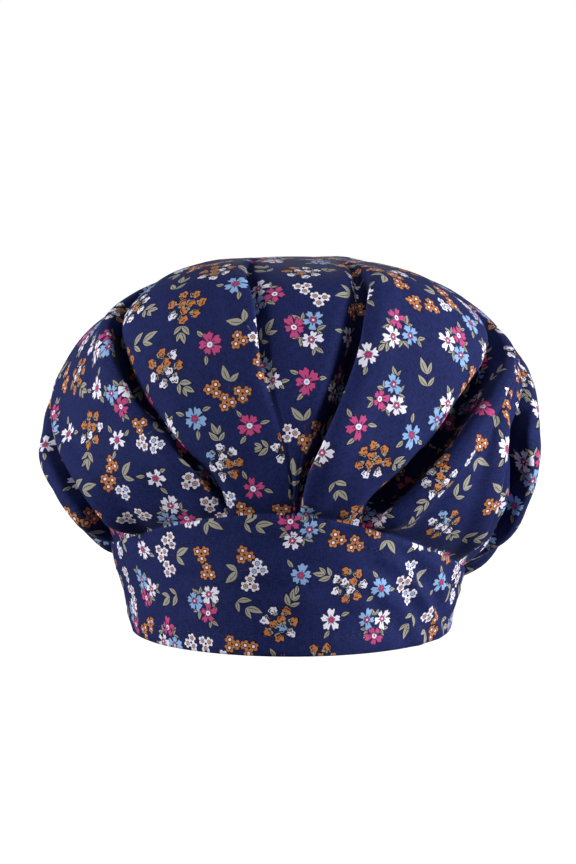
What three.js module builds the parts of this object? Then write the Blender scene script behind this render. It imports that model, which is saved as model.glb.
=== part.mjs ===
// A bouffant scrub cap in printed cotton, standing on its rim. The wearer faces -Y, +Z is up,
// and the origin is the centre of the head opening in the plane of the rim. Millimetres.
//
// Three pieces are sewn together: a deep front band from ear to ear, a gathered elastic casing
// round the nape, and a full crown that is pleated into the band and gathered into the casing.
// Angles go round the head from the middle of the front, and are positive towards +X.
import * as THREE from "three";

// Head opening
const RIM_HALF_WIDTH = 75;
const RIM_FRONT_DEPTH = 97;
const RIM_BACK_DEPTH = 97;

// Outward lean of the band's wall, as a share of the height climbed
const BAND_SIDE_LEAN_RATIO = 0.24;
const BAND_FRONT_LEAN_RATIO = 0.05;
const BAND_BACK_LEAN_RATIO = 0.12;

// Band and casing
const BAND_FRONT_HEIGHT = 65;
const BAND_SIDE_HEIGHT = 36;
const CASING_HEIGHT = 24;
const BAND_TILT_HEIGHT = 5.5; // the band's top edge is higher on the -X side by this much
const BAND_WALL = 2.4; // doubled cloth with its turnings
const CASING_WALL = 2.4;
const BAND_END_ANGLE = 112; // degrees from the middle of the front to the side seam
const BAND_EDGE_EXPONENT = 1.6; // exponent that shapes the band's top edge from the ear to the front
const CASING_LEVEL_RATE = 1.4; // how soon behind the ear the top edge levels out
const SEWN_GAP = 0.3; // between pieces that are sewn edge to edge
const CASING_RUFFLES = 26;
const RUFFLE_DEPTH = 1.6;

// Crown
const CROWN_WALL = 1.2;
const CROWN_HALF_WIDTH = 117.5;
const CROWN_HALF_DEPTH = 122;
const CROWN_SET_BACK = 14; // its widest section is centred this far behind the head's centre
const CROWN_SET_RIGHT = 1.2;
const WIDEST_HEIGHT = 88.5;
const WIDEST_FRONT_RISE = 8;
const WIDEST_BACK_DROP = 5.5;
const CROWN_TOP_HEIGHT = 177;
const CROWN_TOP_BACK = 20;
const CROWN_EXPONENT = 2.25; // exponent of the upper curve: 2 is an ellipse, more is squarer
const CROWN_FRONT_EXPONENT = 6; // the same in the middle of the front
const CROWN_FRONT_LEAN_RATIO = 0.12; // how far the front leans back on its way up, for its reach
const FRONT_FORM_EXPONENT = 3; // exponent: how soon the front's form gives way to the sides'
const UNDERCUT_FRONT_ANGLE = 62; // degrees of arc between the seam and the widest section
const UNDERCUT_BACK_ANGLE = 80;
const UNDERCUT_TURN_RATE = 2.5; // how soon behind the ear the undercut is the back's
const WIDEST_SHARE = 0.27; // share of the way from the seam to the top at the widest section

// Pleats: the sizes that the shares in the tables multiply
const PLEAT_CREST = 5;
const PLEAT_DEPTH = 8;
const PLEAT_WIDTH = 8;
const PLEAT_OVERHANG = 3;
const PLEAT_REACH = 22;
const PLEAT_TUCK_WIDTH = 10; // how far a pleat's root lies under its own edge
const PLEAT_EASE_WIDTH = 22; // how far out the covered panel comes back to the crown's form
const PLEAT_RISE_SHARE = 0.09; // share of the way up the crown over which a pleat rises from its foot
const PLEAT_FOOT_SHARE = 0.2; // share of its width that a pleat has at its stitched foot
const PLEAT_ROOM_SHARE = 0.46; // share of the way to the next pleat that a pleat may take up
const TUCK_ROOM_SHARE = 1.6; // how much more of it its root may take up, under its edge
const ROOM_EXPONENT = 1.5; // how suddenly a pleat is held back at the end of its room
const OVERHANG_START_SHARE = 0.5; // of its full strength, at which a pleat's edge starts to lap over
const ANGLE_RADIUS = 100; // radius at which a length across a pleat is turned into an angle

// Gathers round the back
const GATHERS = 12;
const GATHER_DEPTH = 3.2;
const GATHER_START_SHARE = 0.06; // they are fully risen this far up the crown
const GATHER_FULL_SHARE = 0.1; // they begin to fade here
const GATHER_TOP_SHARE = 0.62; // they have died out here
const GATHER_UNEVEN_SHARE = 0.3;
const GATHER_UNEVEN_RATE = 0.6; // radians of the slow change in depth, for each step round the back

// Facets
const BAND_STEPS = 60;
const BAND_ROWS = [0, 0.33, 0.67, 1]; // shares of the height of the band and the casing
const STEPS_PER_RUFFLE = 4;
const STEPS_PER_GATHER = 4;
const CROWN_ROWS = [
  0, 0.02, 0.05, 0.09, 0.14, 0.19, 0.24, 0.29, 0.34, 0.4, 0.46, 0.52, 0.58, 0.65, 0.73, 0.82, 0.92,
];

const CLOTH = { color: 0x263369, roughness: 0.85, metalness: 0 };
const DEGREE = Math.PI / 180;

// The levels from the seam (0) to the top (1) that the next two tables have columns for
const LINE_SHARES = [0, 0.1, 0.2, 0.3, 0.4, 0.5, 0.6, 0.75, 0.9];

// Angle of each pleat's fold in degrees, from the -X side round the front to the +X side
const PLEAT_LINES = {
  outer_roll: [-80, -70, -76, -86, -95, -100, -104, -106, -106],
  left_valley: [-60, -53.5, -55.5, -68, -80, -88, -92, -94, -94],
  left_outer: [-22, -21.8, -24.4, -30.8, -39.5, -48, -57, -66, -70],
  left_inner: [-1.5, -2.3, -3, -4.2, -6.8, -9.5, -12.2, -20, -26],
  right_inner: [4, 4.5, 5.8, 8.6, 12.7, 16.7, 20.1, 27, 33],
  right_outer: [25, 27.8, 32.2, 40.5, 50.5, 62, 72, 78, 80],
  right_side: [70, 58, 53, 54, 60, 74, 84, 90, 92],
  dent: [92, 80, 70, 66, 74, 87, 96, 102, 104],
};

// How strongly each pleat shows
const PLEAT_STRENGTHS = {
  outer_roll: [0.7, 1, 0.9, 0.5, 0.1, 0, 0, 0, 0],
  left_valley: [0.9, 1, 1, 0.7, 0.2, 0, 0, 0, 0],
  left_outer: [0.4, 0.6, 0.8, 0.6, 0.85, 0.95, 0.5, 0, 0],
  left_inner: [0.1, 0.1, 0.2, 0.2, 0.35, 0.85, 0.95, 0.2, 0],
  right_inner: [0.3, 0.45, 0.8, 1, 1, 1, 0.8, 0.1, 0],
  right_outer: [0.9, 1, 1, 1, 1, 0.55, 0.1, 0, 0],
  right_side: [0.9, 1, 1, 0.9, 0.4, 0.1, 0, 0, 0],
  dent: [0.3, 0.6, 0.9, 1, 0.4, 0, 0, 0, 0],
};

// faces: the side that the folded edge points to. The others are shares of the pleat sizes above, and
// sunk is how deep the covered panel stays.
const PLEATS = [
  { name: "outer_roll", faces: 1, crest: 1.3, depth: 1.5, width: 0.4, lap: 0.8, tuck: 0.4, ease: 0.2, sunk: 1 },
  { name: "left_valley", faces: -1, crest: 1.5, depth: 2, width: 0.4, lap: 1, tuck: 0.4, ease: 0.2, sunk: 1 },
  { name: "left_outer", faces: 1, crest: 1, depth: 1.6, width: 0.35, lap: 1, tuck: 0.9, ease: 0.5, sunk: 0 },
  { name: "left_inner", faces: 1, crest: 0.7, depth: 0.7, width: 0.5, lap: 1, tuck: 0.2, ease: 0.3, sunk: 0 },
  { name: "right_inner", faces: -1, crest: 1, depth: 2, width: 0.55, lap: 1, tuck: 0.6, ease: 0.4, sunk: 0 },
  { name: "right_outer", faces: -1, crest: 1.7, depth: 2.1, width: 1, lap: 1.2, tuck: 1, ease: 1, sunk: 0 },
  { name: "right_side", faces: 1, crest: 1.2, depth: 1.4, width: 0.4, lap: 0.8, tuck: 0.3, ease: 0.3, sunk: 1 },
  { name: "dent", faces: -1, crest: 1.2, depth: 1.6, width: 0.4, lap: 0.8, tuck: 0.5, ease: 0.3, sunk: 0.6 },
];

// The section across one pleat, from the panel that lies on top to the panel that it covers.
// reach: share of PLEAT_REACH from the fold's line. width, lap, tuck, ease: shares of the pleat's own
// width, overhang, tuck and ease. crest, depth, sunk: shares of its own height and depth.
const PLEAT_SECTION = [
  { place: "panel", reach: -1, width: 0, lap: 0, tuck: 0, ease: 0, crest: 0.3, depth: 0, sunk: 0 },
  { place: "panel_swell", reach: -0.45, width: 0, lap: 0, tuck: 0, ease: 0, crest: 0.75, depth: 0, sunk: 0 },
  { place: "shoulder", reach: -0.2, width: 0, lap: 0.6, tuck: 0, ease: 0, crest: 1, depth: 0, sunk: 0 },
  { place: "edge", reach: -0.07, width: 0, lap: 1, tuck: 0, ease: 0, crest: 0.75, depth: 0, sunk: 0 },
  { place: "under_edge", reach: 0, width: 0, lap: 0.85, tuck: 0, ease: 0, crest: 0.35, depth: 0, sunk: 0 },
  { place: "wall", reach: 0.07, width: 0, lap: -0.5, tuck: 0.5, ease: 0, crest: 0.05, depth: 0.45, sunk: 0 },
  { place: "root", reach: 0.1, width: 0.1, lap: -1, tuck: 1, ease: 0, crest: 0, depth: 0.9, sunk: 0 },
  { place: "bottom", reach: 0.14, width: 0.5, lap: -0.3, tuck: 0.6, ease: 0, crest: 0, depth: 1, sunk: 0 },
  { place: "slope", reach: 0.16, width: 1, lap: 0, tuck: 0, ease: 0, crest: 0, depth: 0.35, sunk: 0.45 },
  { place: "next_panel", reach: 0.3, width: 1.1, lap: 0, tuck: 0, ease: 1, crest: 0, depth: 0.03, sunk: 0.5 },
];

const mix = (a, b, share) => a + (b - a) * share;
const clamp = (x, low, high) => Math.min(high, Math.max(low, x));
const smooth = (x) => {
  const s = clamp(x, 0, 1);
  return s * s * (3 - 2 * s);
};

// A value from a row of columns, smoothly between them
function fromColumns(shares, values, at) {
  const last = shares.length - 1;
  if (at >= shares[last]) return values[last];
  let i = 0;
  while (at > shares[i + 1]) i++;
  const step = shares[i + 1] - shares[i];
  const s = (at - shares[i]) / step;
  const slope = (k) => {
    const a = Math.max(k - 1, 0);
    const b = Math.min(k + 1, last);
    return (values[b] - values[a]) / (shares[b] - shares[a]);
  };
  const h00 = 2 * s ** 3 - 3 * s ** 2 + 1;
  const h10 = s ** 3 - 2 * s ** 2 + s;
  const h11 = s ** 3 - s ** 2;
  const between = h00 * values[i] + (1 - h00) * values[i + 1];
  return between + step * (h10 * slope(i) + h11 * slope(i + 1));
}

// Height of the seam between the crown and the band or casing
function seamHeight(angle) {
  const c = Math.cos(angle);
  const level = c > 0
    ? mix(BAND_SIDE_HEIGHT, BAND_FRONT_HEIGHT, c ** BAND_EDGE_EXPONENT)
    : mix(BAND_SIDE_HEIGHT, CASING_HEIGHT, smooth(-c * CASING_LEVEL_RATE));
  return level - BAND_TILT_HEIGHT * Math.sin(angle) * smooth(c + 1);
}

// The middle of the band's wall at an angle and a height, moved outwards by out
function bandPoint(angle, height, out) {
  const c = Math.cos(angle);
  const s = Math.sin(angle);
  const ahead = c > 0 ? BAND_FRONT_LEAN_RATIO : BAND_BACK_LEAN_RATIO;
  const lean = (BAND_SIDE_LEAN_RATIO * s * s + ahead * c * c) * height;
  const depth = c > 0 ? RIM_FRONT_DEPTH : RIM_BACK_DEPTH;
  return new THREE.Vector3((RIM_HALF_WIDTH + lean + out) * s, -(depth + lean + out) * c, height);
}

// The crown's smooth form, without pleats: angle round the head, share of the way up from the seam
function crownForm(angle, share) {
  const c = Math.cos(angle);
  const seam = bandPoint(angle, seamHeight(angle) + SEWN_GAP, CROWN_WALL / 2);
  const widest = new THREE.Vector3(
    CROWN_SET_RIGHT + CROWN_HALF_WIDTH * Math.sin(angle),
    CROWN_SET_BACK - CROWN_HALF_DEPTH * c,
    WIDEST_HEIGHT + (c > 0 ? WIDEST_FRONT_RISE : -WIDEST_BACK_DROP) * c * c,
  );
  if (share < WIDEST_SHARE) {
    const whole = mix(UNDERCUT_FRONT_ANGLE, UNDERCUT_BACK_ANGLE, smooth(-c * UNDERCUT_TURN_RATE)) * DEGREE;
    const arc = whole * (1 - share / WIDEST_SHARE);
    const inwards = (1 - Math.cos(arc)) / (1 - Math.cos(whole));
    const down = Math.sin(arc) / Math.sin(whole);
    return new THREE.Vector3(
      mix(widest.x, seam.x, inwards),
      mix(widest.y, seam.y, inwards),
      mix(widest.z, seam.z, down),
    );
  }
  const arc = ((share - WIDEST_SHARE) / (1 - WIDEST_SHARE)) * (Math.PI / 2);
  const frontal = Math.max(c, 0) ** FRONT_FORM_EXPONENT;
  const fullness = mix(CROWN_EXPONENT, CROWN_FRONT_EXPONENT, frontal);
  const across = Math.max(Math.cos(arc), 0);
  const swell = (across ** fullness + Math.sin(arc) ** fullness) ** (1 / fullness);
  const up = Math.sin(arc) / swell;
  const outwards = (across / swell) * (1 - CROWN_FRONT_LEAN_RATIO * frontal * up);
  return new THREE.Vector3(
    mix(CROWN_SET_RIGHT, widest.x, outwards),
    mix(CROWN_TOP_BACK, widest.y, outwards),
    mix(widest.z, CROWN_TOP_HEIGHT, up),
  );
}

// A point of the crown, standing out from the smooth form by height
function crownPoint(angle, share, height) {
  const nudge = 0.004;
  const point = crownForm(angle, share);
  const round = crownForm(angle + nudge, share).sub(crownForm(angle - nudge, share));
  const low = Math.max(share - nudge, 0);
  const upwards = crownForm(angle, share + nudge).sub(crownForm(angle, low));
  return point.addScaledVector(round.cross(upwards).normalize(), height);
}

// How strongly a pleat shows, from its stitched foot to where it dies out
function pleatStrength(pleat, share) {
  const shown = Math.max(fromColumns(LINE_SHARES, PLEAT_STRENGTHS[pleat.name], share), 0);
  return shown * Math.sqrt(smooth(share / PLEAT_RISE_SHARE));
}

// Keeps a length across a pleat inside the room that its neighbour leaves
function within(length, room) {
  const ratio = Math.abs(length) / room;
  return length / (1 + ratio ** ROOM_EXPONENT) ** (1 / ROOM_EXPONENT);
}

const pleatAngle = (pleat, share) => fromColumns(LINE_SHARES, PLEAT_LINES[pleat.name], share) * DEGREE;

// Angles and heights of the points across one pleat, in order of angle
function pleatStations(index, share) {
  const pleat = PLEATS[index];
  const fold = pleatAngle(pleat, share);
  const strength = pleatStrength(pleat, share);
  const lapped = smooth((strength - OVERHANG_START_SHARE) / (1 - OVERHANG_START_SHARE));
  const overhang = PLEAT_OVERHANG * pleat.lap * lapped;
  const width = PLEAT_WIDTH * pleat.width * mix(PLEAT_FOOT_SHARE, 1, smooth(share / PLEAT_RISE_SHARE));
  const roomTo = (other) => {
    if (!other) return 2 * PLEAT_REACH;
    return PLEAT_ROOM_SHARE * ANGLE_RADIUS * Math.abs(pleatAngle(other, share) - fold);
  };
  const rooms = { "-1": roomTo(PLEATS[index - 1]), 1: roomTo(PLEATS[index + 1]) };
  const tuck = within(PLEAT_TUCK_WIDTH * pleat.tuck * lapped, TUCK_ROOM_SHARE * rooms[-pleat.faces]);
  const stations = PLEAT_SECTION.map((s) => {
    const flat = s.reach * PLEAT_REACH + s.width * width + s.ease * PLEAT_EASE_WIDTH * pleat.ease;
    const side = Math.sign(flat) * pleat.faces || pleat.faces;
    const across = within(flat, rooms[side]) + s.lap * overhang - s.tuck * tuck;
    const crest = s.crest * PLEAT_CREST * pleat.crest;
    const depth = (s.depth + s.sunk * pleat.sunk) * PLEAT_DEPTH * pleat.depth;
    return {
      angle: fold + (pleat.faces * across) / ANGLE_RADIUS,
      height: strength * (crest - depth),
    };
  });
  return pleat.faces > 0 ? stations : stations.reverse();
}

// The crown's outline at one level: every pleat, and then the gathers round the back
function crownStations(share) {
  const stations = [];
  PLEATS.forEach((_, index) => {
    const pleat = pleatStations(index, share);
    const before = stations[stations.length - 1];
    if (before) {
      stations.push({
        angle: mix(before.angle, pleat[0].angle, 0.5),
        height: mix(before.height, pleat[0].height, 0.5),
      });
    }
    stations.push(...pleat);
  });
  const from = stations[stations.length - 1].angle;
  const to = stations[0].angle + 2 * Math.PI;
  const steps = GATHERS * STEPS_PER_GATHER;
  const fade = smooth((share - GATHER_FULL_SHARE) / (GATHER_TOP_SHARE - GATHER_FULL_SHARE));
  const rise = smooth(share / GATHER_START_SHARE) * (1 - fade);
  for (let i = 1; i < steps; i++) {
    const wave = Math.cos((2 * Math.PI * i) / STEPS_PER_GATHER);
    const uneven = 1 + GATHER_UNEVEN_SHARE * Math.sin(i * GATHER_UNEVEN_RATE);
    const ends = smooth(Math.min(i, steps - i) / STEPS_PER_GATHER);
    stations.push({
      angle: mix(from, to, i / steps),
      height: -GATHER_DEPTH * rise * wave * uneven * ends,
    });
  }
  return stations;
}

// A closed solid from an outer and an inner grid of points: rows[row][station].
// A looped grid closes on itself, and an open one gets end walls. Apexes close the last row.
function solidBetween(outer, inner, looped, apexes) {
  const rows = outer.length;
  const stations = outer[0].length;
  const points = [...outer.flat(), ...inner.flat(), ...(apexes ?? [])];
  const outside = (row, k) => row * stations + (k % stations);
  const inside = (row, k) => rows * stations + outside(row, k);
  const faces = [];
  const quad = (a, b, c, d) => faces.push(a, b, c, a, c, d);
  const spans = looped ? stations : stations - 1;
  for (let k = 0; k < spans; k++) {
    for (let row = 0; row < rows - 1; row++) {
      quad(outside(row, k), outside(row, k + 1), outside(row + 1, k + 1), outside(row + 1, k));
      quad(inside(row, k), inside(row + 1, k), inside(row + 1, k + 1), inside(row, k + 1));
    }
    quad(inside(0, k), inside(0, k + 1), outside(0, k + 1), outside(0, k));
    if (apexes) {
      const outerApex = points.length - 2;
      faces.push(outside(rows - 1, k), outside(rows - 1, k + 1), outerApex);
      faces.push(inside(rows - 1, k + 1), inside(rows - 1, k), outerApex + 1);
    } else {
      quad(outside(rows - 1, k), outside(rows - 1, k + 1), inside(rows - 1, k + 1), inside(rows - 1, k));
    }
  }
  if (!looped) {
    const end = stations - 1;
    for (let row = 0; row < rows - 1; row++) {
      quad(inside(row, 0), outside(row, 0), outside(row + 1, 0), inside(row + 1, 0));
      quad(outside(row, end), inside(row, end), inside(row + 1, end), outside(row + 1, end));
    }
  }
  const geometry = new THREE.BufferGeometry().setFromPoints(points);
  geometry.setIndex(faces);
  geometry.computeVertexNormals();
  return geometry;
}

// The same grid, moved inwards by a wall's thickness
function insideOf(grid, wall) {
  const count = grid[0].length;
  return grid.map((row, i) =>
    row.map((point, k) => {
      const round = row[(k + 1) % count].clone().sub(row[(k + count - 1) % count]);
      const above = grid[Math.min(i + 1, grid.length - 1)][k];
      const below = grid[Math.max(i - 1, 0)][k];
      const out = round.cross(above.clone().sub(below)).normalize();
      return point.clone().addScaledVector(out, -wall);
    }),
  );
}

function crown() {
  const outer = CROWN_ROWS.map((share) =>
    crownStations(share).map((s) => crownPoint(s.angle, share, s.height)),
  );
  const inner = insideOf(outer, CROWN_WALL);
  const foot = outer[0].map((p) => p.z);
  inner[0].forEach((p, k) => (p.z = foot[k]));
  const top = new THREE.Vector3(CROWN_SET_RIGHT, CROWN_TOP_BACK, CROWN_TOP_HEIGHT);
  const topInside = top.clone().setZ(CROWN_TOP_HEIGHT - CROWN_WALL);
  return solidBetween(outer, inner, true, [top, topInside]);
}

// A curved strip of wall from one angle to another, sewn to the crown along its top
function strip(from, to, steps, wall, swell) {
  const grid = (side) =>
    BAND_ROWS.map((share) =>
      Array.from({ length: steps + 1 }, (_, i) => {
        const angle = mix(from, to, i / steps);
        const out = (side * wall) / 2 + swell(share, i);
        return bandPoint(angle, share * seamHeight(angle), out);
      }),
    );
  return solidBetween(grid(1), grid(-1), false);
}

function frontBand() {
  const end = BAND_END_ANGLE * DEGREE;
  return strip(-end, end, BAND_STEPS, BAND_WALL, () => 0);
}

function backCasing() {
  const gap = SEWN_GAP / RIM_BACK_DEPTH;
  const from = BAND_END_ANGLE * DEGREE + gap;
  const steps = CASING_RUFFLES * STEPS_PER_RUFFLE;
  return strip(from, 2 * Math.PI - from, steps, CASING_WALL, (share, i) => {
    const ends = smooth(Math.min(i, steps - i) / STEPS_PER_RUFFLE);
    return 0.5 * RUFFLE_DEPTH * ends * Math.cos((2 * Math.PI * i) / STEPS_PER_RUFFLE);
  });
}

function piece(name, geometry) {
  const mesh = new THREE.Mesh(geometry, new THREE.MeshStandardMaterial(CLOTH));
  mesh.name = name;
  return mesh;
}

const cap = new THREE.Group();
cap.add(piece("crown", crown()));
cap.add(piece("front_band", frontBand()));
cap.add(piece("back_casing", backCasing()));

export default cap;
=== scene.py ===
"""A bouffant scrub cap in printed cotton, standing on its rim. Metres, +Z up, the wearer faces -Y."""
import math

import bpy
import numpy as np
from mathutils import Matrix, Vector, noise


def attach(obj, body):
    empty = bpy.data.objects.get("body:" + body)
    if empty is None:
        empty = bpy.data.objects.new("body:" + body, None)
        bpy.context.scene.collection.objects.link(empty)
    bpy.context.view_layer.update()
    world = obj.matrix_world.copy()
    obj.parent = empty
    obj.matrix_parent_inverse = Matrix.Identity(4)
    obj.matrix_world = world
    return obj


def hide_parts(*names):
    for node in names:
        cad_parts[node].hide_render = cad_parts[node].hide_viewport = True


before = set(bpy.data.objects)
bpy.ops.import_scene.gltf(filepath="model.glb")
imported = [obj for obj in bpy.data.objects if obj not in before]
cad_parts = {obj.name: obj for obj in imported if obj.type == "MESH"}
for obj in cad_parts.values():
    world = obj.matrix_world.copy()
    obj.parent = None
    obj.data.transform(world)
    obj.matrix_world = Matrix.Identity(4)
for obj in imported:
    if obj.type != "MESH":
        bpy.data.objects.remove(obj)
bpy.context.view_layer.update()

MM = 0.001

# Head opening and the lean of the band's wall
RIM_HALF_WIDTH = 75 * MM
RIM_FRONT_DEPTH = 97 * MM
RIM_BACK_DEPTH = 97 * MM
LEAN_SIDE = 0.24
LEAN_FRONT = 0.05
LEAN_BACK = 0.12

# Band and casing
BAND_FRONT_HEIGHT = 65 * MM
BAND_SIDE_HEIGHT = 36 * MM
CASING_HEIGHT = 24 * MM
BAND_TILT = 5.5 * MM
BAND_END = math.radians(112)
BAND_EDGE_CURVE = 1.6
CASING_EDGE_RATE = 1.4
BAND_THICKNESS = 2.5 * MM
BAND_MIDDLE = -0.05 * MM
BAND_BELOW_SEAM = 0.5 * MM
STITCH_MARGIN = 9 * MM
STITCH_LENGTH = 2.5 * MM
STITCH_PITCH = 3.1 * MM
THREAD = 0.4 * MM
STITCH_END = 110
CASING_END = math.radians(110.5)
CASING_HALF_THICKNESS = 1.6 * MM
CASING_STITCH = 3.5 * MM
CASING_GROOVE_WIDTH = 1.3 * MM
CASING_RUFFLES = 42
CASING_FULLNESS = 1.5
RUFFLE_HEIGHT = 0.9 * MM

GROUP_SPACING = 29.5

# Crown
CLOTH = 0.6 * MM
CROWN_HALF_WIDTH = 117.5 * MM
CROWN_HALF_DEPTH = 122 * MM
CROWN_SET_BACK = 14 * MM
CROWN_SET_RIGHT = 1.2 * MM
WIDEST_HEIGHT = 88.5 * MM
WIDEST_FRONT_RISE = 8 * MM
WIDEST_BACK_DROP = 5.5 * MM
CROWN_TOP_HEIGHT = 177 * MM
CROWN_TOP_BACK = 20 * MM
CROWN_FULLNESS = 2.25
FRONT_FULLNESS = 6
FRONT_LEAN = 0.12
FRONT_REACH = 3
UNDERCUT_FRONT = math.radians(62)
UNDERCUT_BACK = math.radians(110)
UNDERCUT_TURN = 2.5
WIDEST_SHARE = 0.27
SEWN_GAP = 0.3 * MM
SEAM_OUT = -0.2 * MM
CROWN_FOOT_DROPS = [6 * MM, 2.5 * MM, 0.6 * MM]

# Pleats and gathers
PLEAT_CREST = 5 * MM
PLEAT_DEPTH = 8 * MM
PLEAT_WIDTH = 8 * MM
PLEAT_OVERHANG = 3 * MM
PLEAT_REACH = 22 * MM
PLEAT_TUCK = 10 * MM
PLEAT_EASE = 22 * MM
PLEAT_RISE = 0.09
PLEAT_FOOT_WIDTH = 0.2
PLEAT_ROOM = 0.46
ROOM_SHARPNESS = 1.5
TUCK_ROOM = 1.6
OVERHANG_START = 0.5
ANGLE_RADIUS = 100 * MM
GATHERS = 12
STEPS_PER_GATHER = 4
GATHER_DEPTH = 3.2 * MM
GATHER_START_SHARE = 0.06
GATHER_FULL_SHARE = 0.1
GATHER_TOP_SHARE = 0.62
GATHER_UNEVENNESS = 0.3
GATHER_UNEVEN_RATE = 0.6

# Small unevenness of the cloth: how high and how wide
SOFT_FOLD, SOFT_FOLD_SIZE = 2.1 * MM, 46 * MM
WRINKLE, WRINKLE_SIZE = 0.65 * MM, 16 * MM
STREAK, STREAKS_ROUND = 1.1 * MM, 9
PUCKER, PUCKERS_ROUND = 0.5 * MM, 34
PUCKER_SHARE = 0.035
BAND_UNEVENNESS, BAND_UNEVENNESS_SIZE = 0.35 * MM, 22 * MM
BAND_WRINKLE, BAND_WRINKLE_SIZE = 0.9 * MM, 7 * MM
BAND_FOLD, BAND_FOLD_SIZE = 1.2 * MM, 16 * MM
SLACK_FOLD, SLACK_FOLD_PITCH = 1.5 * MM, 3.1 * MM
SLACK_ANGLE = math.radians(48)
SLACK_WIDTH, SLACK_HEIGHT = 34 * MM, 24 * MM
SLACK_SLANT = 0.62
STITCH_GROOVE, STITCH_GROOVE_WIDTH = 0.4 * MM, 1 * MM
STITCH_PUCKER, STITCH_PUCKER_WIDTH = 0.28 * MM, 4 * MM

# The levels from the seam (0) to the top (1) that the next two tables have columns for
LINE_SHARES = [0, 0.1, 0.2, 0.3, 0.4, 0.5, 0.6, 0.75, 0.9]

# Angle of each pleat's fold in degrees, from the -X side round the front to the +X side
PLEAT_LINES = {
    "outer_roll": [-80, -70, -76, -86, -95, -100, -104, -106, -106],
    "left_valley": [-60, -53.5, -55.5, -68, -80, -88, -92, -94, -94],
    "left_outer": [-22, -21.8, -24.4, -30.8, -39.5, -48, -57, -66, -70],
    "left_inner": [-0.5, -1.5, -2.7, -4.2, -6.8, -9.5, -12.2, -20, -26],
    "right_inner": [2.8, 3.2, 5.2, 8.6, 12.7, 16.7, 20.1, 27, 33],
    "right_outer": [25, 27.8, 32.2, 40.5, 50.5, 62, 72, 78, 80],
    "right_side": [70, 58, 53, 54, 60, 74, 84, 90, 92],
    "dent": [92, 80, 70, 66, 74, 87, 96, 102, 104],
}

# How strongly each pleat shows
PLEAT_STRENGTHS = {
    "outer_roll": [0.7, 1, 0.9, 0.5, 0.1, 0, 0, 0, 0],
    "left_valley": [0.9, 1, 1, 0.7, 0.2, 0, 0, 0, 0],
    "left_outer": [0.4, 0.6, 0.8, 0.6, 0.85, 0.95, 0.5, 0, 0],
    "left_inner": [0.3, 0.25, 0.2, 0.2, 0.35, 0.85, 0.95, 0.2, 0],
    "right_inner": [0.6, 0.7, 0.9, 1, 1, 1, 0.8, 0.1, 0],
    "right_outer": [0.9, 1, 1, 1, 1, 0.55, 0.1, 0, 0],
    "right_side": [0.9, 1, 1, 0.9, 0.4, 0.1, 0, 0, 0],
    "dent": [0.3, 0.6, 0.9, 1, 0.4, 0, 0, 0, 0],
}

# faces: the side that the folded edge points to. The others are shares of the pleat sizes above.
PLEAT_COLUMNS = ["name", "faces", "crest", "depth", "width", "overhang", "tuck", "ease", "valley"]
PLEAT_ROWS = [
    ("outer_roll", 1, 1.3, 1.5, 0.4, 0.8, 0.4, 0.2, 1),
    ("left_valley", -1, 1.5, 2, 0.4, 1, 0.4, 0.2, 1),
    ("left_outer", 1, 1, 1.6, 0.35, 1, 0.9, 0.5, 0),
    ("left_inner", 1, 0.7, 0.7, 0.5, 1, 0.2, 0.3, 0),
    ("right_inner", -1, 1, 2, 0.8, 1, 0.6, 0.4, 0),
    ("right_outer", -1, 1.7, 2.6, 1, 1.2, 1.4, 1, 0),
    ("right_side", 1, 1.2, 1.4, 0.4, 0.8, 0.3, 0.3, 1),
    ("dent", -1, 1.2, 1.6, 0.4, 0.8, 0.5, 0.3, 0.6),
]
PLEATS = [dict(zip(PLEAT_COLUMNS, row)) for row in PLEAT_ROWS]

# The section across a pleat, from the panel on top to the panel that it covers
PLEAT_SECTION = [
    dict(place="panel", reach=-1, width=0, over=0, crest=0.3, depth=0),
    dict(place="panel_swell", reach=-0.45, width=0, over=0, crest=0.75, depth=0),
    dict(place="shoulder", reach=-0.2, width=0, over=0.6, crest=1, depth=0),
    dict(place="edge", reach=-0.07, width=0, over=1, crest=0.75, depth=0),
    dict(place="under_edge", reach=0, width=0, over=0.85, crest=0.35, depth=0),
    dict(place="wall", reach=0.07, width=0, over=-0.5, tuck=0.5, crest=0.05, depth=0.45),
    dict(place="root", reach=0.1, width=0.1, over=-1, tuck=1, crest=0, depth=0.9),
    dict(place="bottom", reach=0.14, width=0.5, over=-0.3, tuck=0.6, crest=0, depth=1),
    dict(place="slope", reach=0.16, width=1, over=0, crest=0, depth=0.35, valley=0.45),
    dict(place="next_panel", reach=0.3, width=1.1, over=0, ease=1, crest=0, depth=0.03, valley=0.5),
]
ROOT = 6

# Meshes
CROWN_STEP = 2.7 * MM
CROWN_ROW_COUNT = 88
CROWN_LAST_SHARE = 0.985
PRINT_CUT_SHARE = 0.5


def mix(a, b, share):
    return a + (b - a) * share


def smooth(x):
    s = np.clip(x, 0, 1)
    return s * s * (3 - 2 * s)


def from_columns(shares, values, at):
    """A value from a row of columns, smoothly between them."""
    last = len(shares) - 1
    if at >= shares[last]:
        return values[last]
    i = max(k for k in range(last) if at >= shares[k])
    step = shares[i + 1] - shares[i]
    s = (at - shares[i]) / step

    def slope(k):
        a, b = max(k - 1, 0), min(k + 1, last)
        return (values[b] - values[a]) / (shares[b] - shares[a])

    h00 = 2 * s**3 - 3 * s**2 + 1
    h10 = s**3 - 2 * s**2 + s
    h11 = s**3 - s**2
    return h00 * values[i] + (1 - h00) * values[i + 1] + step * (h10 * slope(i) + h11 * slope(i + 1))


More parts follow.
